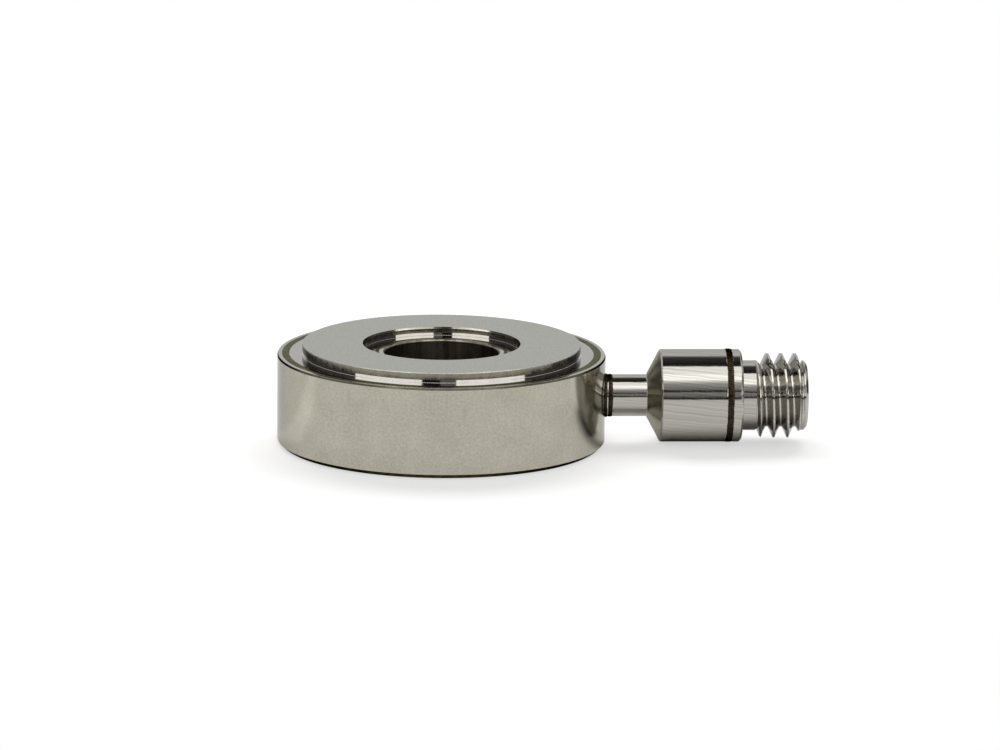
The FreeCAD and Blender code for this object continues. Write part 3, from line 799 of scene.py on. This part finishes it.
barrel_weld = weld("barrel_weld", weld_scale, **{
    "Radius": (BARREL_R - BARREL_BEAD_SINK) * MM, "Width": 0.44 * MM, "Crown": 0.034 * MM, "Sink": 0.1 * MM,
    "Spots": 110.0, "Ripple": 0.008 * MM, "Wander": 0.16 * MM, "Wander size": 0.25 * MM, "Lay": 1.0,
    "Wall radius": FLAT_WALL, "Seed": 3.0, "Sides": 1081, "Turned": ALONG_X,
    "Centre": (BARREL_JOINT * MM, 0, AXIS_HEIGHT * MM)})
root_weld = weld("root_weld", weld_scale, **{
    "Radius": STEM_R * MM, "Width": 0.28 * MM, "Crown": 0.05 * MM, "Sink": 0.1 * MM,
    "Spots": 40.0, "Ripple": 0.008 * MM, "Wander": 0.06 * MM, "Wander size": 0.3 * MM, "Lay": 1.0,
    "Wall radius": RING_R * MM, "Seed": 4.0, "Sides": 641, "Turned": ALONG_X,
    "Centre": (RING_R * MM, 0, AXIS_HEIGHT * MM)})
stem_weld = weld("stem_weld", weld_scale, **{
    "Radius": STEM_R * MM, "Width": 0.26 * MM, "Crown": 0.02 * MM, "Sink": 0.1 * MM,
    "Spots": 40.0, "Ripple": 0.006 * MM, "Wander": 0.12 * MM, "Wander size": 0.3 * MM, "Lay": 1.0,
    "Wall radius": FLAT_WALL, "Seed": 5.0, "Sides": 641, "Turned": ALONG_X,
    "Centre": (STEM_WELD * MM, 0, AXIS_HEIGHT * MM)})

# Each row: a piece, the name of a slot, and the solid that it may stand for; the piece rides on the one body,
# and that solid's part is hidden.
for piece, slot_name, replaced in (
    (housing, "housing_steel", "housing"),
    (cover, "cover_steel", "load_ring"),
    (stem, "connector_steel", "connector_stem"),
    (shell, "connector_steel", "connector_shell"),
    (contact, "contact_gold", "centre_contact"),
    (insulator, "white_insulation", "contact_insulator"),
    (outer_weld, "cover_steel", None),
    (inner_weld, "cover_steel", None),
    (barrel_weld, "connector_steel", None),
    (root_weld, "connector_steel", None),
    (stem_weld, "connector_steel", None),
):
    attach(piece, "root")
    if replaced:
        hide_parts(replaced)

for node_name, material in (
    ("lower_quartz_ring", quartz),
    ("upper_quartz_ring", quartz),
    ("electrode_ring", nickel_foil),
    ("inner_insulator", white_ptfe),
    ("outer_insulator", white_ptfe),
    ("glass_seal", seal_glass),
    ("barrel_insulator", white_ptfe),
    ("lead_sleeve", white_ptfe),
    ("signal_lead", tinned_copper),
):
    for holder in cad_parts[node_name].material_slots:
        holder.material = material


# Studio: floor, mirrored surroundings, lamps and camera, in metres and degrees.
scene = bpy.context.scene
scene.view_settings.view_transform = "Standard"

# Pale floor: diffuse under and round the sensor, so that it keeps its shadow; it partly glows beside it
# and wholly further out, so that it stays white to the edge of the picture and in the steel. In the steel
# it is dark in a narrow strip under the connector's axis.
FLOOR_HALF = 0.35
GLOW_FROM = 0.022
GLOW_FULL = 0.06
SEEN_GLOW = 0.58
MIRRORED_GLOW = 0.9
STRIP_INNER = 0.001
STRIP_OUTER = 0.0032
floor_paint = bpy.data.materials.new("pale_floor")
floor_paint.use_nodes = True
tree = floor_paint.node_tree
tree.nodes.clear()
where = node(tree, "ShaderNodeTexCoord").outputs["Object"]
away = node(tree, VECTOR_MATH, (where,), operation="LENGTH").outputs["Value"]
far = fade(tree, away, GLOW_FROM, GLOW_FULL)
paint = node(tree, "ShaderNodeBsdfDiffuse", {"Color": colour("#F6F5F4")}).outputs[0]
white_glow = node(tree, "ShaderNodeEmission", {"Strength": 1.0}).outputs[0]
rays = node(tree, "ShaderNodeLightPath").outputs
seen = node(tree, MATH, (rays["Is Camera Ray"], SEEN_GLOW), operation="MULTIPLY").outputs[0]
mirror_rays = node(tree, MATH, (rays["Is Glossy Ray"], rays["Is Transmission Ray"]),
                   operation="MAXIMUM").outputs[0]
mirror_glow = node(tree, MATH, (mirror_rays, MIRRORED_GLOW), operation="MULTIPLY").outputs[0]
aside = node(tree, MATH, (along(tree, where, "Y"),), operation="ABSOLUTE").outputs[0]
beside_strip = fade(tree, aside, STRIP_INNER, STRIP_OUTER)
mirrored = node(tree, MATH, (mirror_glow, beside_strip), operation="MULTIPLY").outputs[0]
near_glow = node(tree, MATH, (seen, mirrored), operation="ADD").outputs[0]
glow_share = node(tree, MATH, (far, near_glow), operation="MAXIMUM").outputs[0]
floor_shader = node(tree, "ShaderNodeMixShader", (glow_share, paint, white_glow)).outputs[0]
node(tree, "ShaderNodeOutputMaterial", {"Surface": floor_shader})
form = bmesh.new()
bmesh.ops.create_grid(form, x_segments=1, y_segments=1, size=FLOOR_HALF)
floor_mesh = bpy.data.meshes.new("floor")
form.to_mesh(floor_mesh)
form.free()
floor_mesh.materials.append(floor_paint)
floor = new_piece("floor", floor_mesh)
off_the_floor = bpy.data.collections.new("off_the_floor")
off_the_floor.objects.link(floor)
off_the_floor.collection_objects[0].light_linking.link_state = "EXCLUDE"

# What the polished steel mirrors, by bearing from the front and by elevation. Each row: bearing, half width,
# lowest, highest, edge, brightness at the lowest and at the highest; later rows cover earlier ones.
STUDIO_ZONES = (
    (180, 110, -1, 17, 2, 0.1, 0.1),      # dark band low round the sides and back
    (180, 135, 17, 72, 2, 0.9, 0.9),      # white walls above it
    (168, 14, 52, 90, 3, 0.09, 0.0),      # dark gap behind the overhead box
    (180, 26, -90, 53, 8, 1.0, 1.0),      # white sheet behind the sensor
    (0, 110, -90, 1.2, 1, 1.0, 1.0),      # white table in front
    (0, 80, 24.8, 41, 0.5, 0.27, 0.62),   # grey below the front softbox
    (0, 80, 41, 50, 1, 0.62, 1.7),        # brighter up to its edge
    (5, 8, 6.7, 19.4, 0.5, 0.17, 0.42),   # dim patch between the side panels
)
DARK = 0.02
world = bpy.data.worlds.new("studio")
scene.world = world
world.use_nodes = True
tree = world.node_tree
tree.nodes.clear()
direction = node(tree, "ShaderNodeTexCoord").outputs["Generated"]
east, north, steep = node(tree, "ShaderNodeSeparateXYZ", (direction,)).outputs[:3]
rise = node(tree, MATH, (steep,), operation="ARCSINE").outputs[0]
elevation = node(tree, MATH, (rise,), operation="DEGREES").outputs[0]
south = node(tree, MATH, (north, -1.0), operation="MULTIPLY").outputs[0]
heading = node(tree, MATH, (east, south), operation="ARCTAN2").outputs[0]
bearing = node(tree, MATH, (heading,), operation="DEGREES").outputs[0]
mirrored = DARK
for centre, half, low, high, edge, at_low, at_high in STUDIO_ZONES:
    apart = node(tree, MATH, (bearing, centre), operation="SUBTRACT").outputs[0]
    half_turn = node(tree, MATH, (apart, 180.0, -180.0), operation="WRAP").outputs[0]
    aside = node(tree, MATH, (half_turn,), operation="ABSOLUTE").outputs[0]
    wide = fade(tree, aside, half + edge, half - edge)
    above = fade(tree, elevation, low - edge, low + edge)
    below = fade(tree, elevation, high + edge, high - edge)
    tall = node(tree, MATH, (above, below), operation="MULTIPLY").outputs[0]
    mask = node(tree, MATH, (wide, tall), operation="MULTIPLY").outputs[0]
    bright = node(tree, "ShaderNodeMapRange", {
        "Value": elevation, "From Min": low, "From Max": high,
        "To Min": at_low, "To Max": at_high}).outputs[0]
    mirrored = node(tree, "ShaderNodeMix", {"Factor": mask, "A": mirrored, "B": bright}).outputs[0]
rays = node(tree, "ShaderNodeLightPath").outputs
shown = node(tree, MATH, (rays["Is Camera Ray"], rays["Is Transmission Ray"]), operation="MAXIMUM").outputs[0]
strength = node(tree, "ShaderNodeMix", {"Factor": shown, "A": mirrored, "B": 1.0}).outputs[0]
glow = node(tree, "ShaderNodeBackground", {"Color": (1, 1, 1, 1), "Strength": strength}).outputs[0]
node(tree, "ShaderNodeOutputWorld", {"Surface": glow})


def softbox(name, place, aim, width, height, radiance):
    """A flat soft lamp of an even brightness, which leaves the floor alone."""
    lamp = bpy.data.lights.new(name, "AREA")
    lamp.shape = "RECTANGLE"
    lamp.size = width
    lamp.size_y = height
    lamp.energy = radiance * width * height * math.pi
    holder = bpy.data.objects.new(name, lamp)
    facing = (Vector(aim) - Vector(place)).to_track_quat("-Z", "Y").to_matrix().to_4x4()
    holder.matrix_world = Matrix.Translation(place) @ facing
    holder.visible_camera = False
    holder.light_linking.receiver_collection = off_the_floor
    scene.collection.objects.link(holder)
    return holder


# Overhead box in two strips, the front one brighter: from and to which elevation, and how bright.
OVERHEAD_HEIGHT = 0.45
OVERHEAD_WIDTH = 0.7
for name, lowest, highest, radiance in (("front_softbox", 50, 66, 2.25), ("overhead_softbox", 66, 88.3, 1.8)):
    front = OVERHEAD_HEIGHT / math.tan(math.radians(lowest))
    back = OVERHEAD_HEIGHT / math.tan(math.radians(highest))
    middle = -(front + back) / 2
    softbox(name, (0.0, middle, OVERHEAD_HEIGHT), (0.0, middle, 0.0), OVERHEAD_WIDTH, front - back, radiance)

# Side panels, clear of the floor, by bearing and half width; each is a bright strip below a dimmer one.
PANEL_REACH = 0.4
PANELS = (("left", -47.5, 29.5), ("right", 40, 30))
PANEL_TIERS = (("low", 0.069, 0.119, 2.8), ("high", 0.119, 0.231, 1.1))
for hand, panel_bearing, half in PANELS:
    panel_turn = math.radians(panel_bearing)
    panel_x, panel_y = PANEL_REACH * math.sin(panel_turn), -PANEL_REACH * math.cos(panel_turn)
    panel_width = 2 * PANEL_REACH * math.tan(math.radians(half))
    for tier, bottom, top, radiance in PANEL_TIERS:
        middle = (bottom + top) / 2
        softbox(f"{hand}_{tier}_panel", (panel_x, panel_y, middle), (0.0, 0.0, middle),
                panel_width, top - bottom, radiance)

# Lamp behind the sensor, the only one that lights the floor and casts its shadow; no steel mirrors it.
back_lamp = softbox("back_softbox", place=(0.0, 0.32, 0.38), aim=(0.0, 0.0, 0.0),
                    width=0.5, height=0.25, radiance=7.0)
back_lamp.light_linking.receiver_collection = None
back_lamp.visible_glossy = False

# Camera at the photograph's place: a long lens, a little above the ring, slightly off level.
CAMERA_PLACE = (0.00334, -0.3337, 0.0777)
CAMERA_TURN = -2.8
CAMERA_DOWN = 12.47
CAMERA_ROLL = 0.60
camera = bpy.data.cameras.new("camera")
camera.sensor_width = 36.0
camera.lens = 216.0
camera.clip_start = 0.01
camera.clip_end = 20.0
viewer = bpy.data.objects.new("camera", camera)
viewer.matrix_world = (Matrix.Rotation(math.radians(CAMERA_TURN), 4, "Z") @ Matrix.Translation(CAMERA_PLACE)
                       @ Matrix.Rotation(math.radians(90 - CAMERA_DOWN), 4, "X")
                       @ Matrix.Rotation(math.radians(CAMERA_ROLL), 4, "Z"))
scene.collection.objects.link(viewer)
scene.camera = viewer
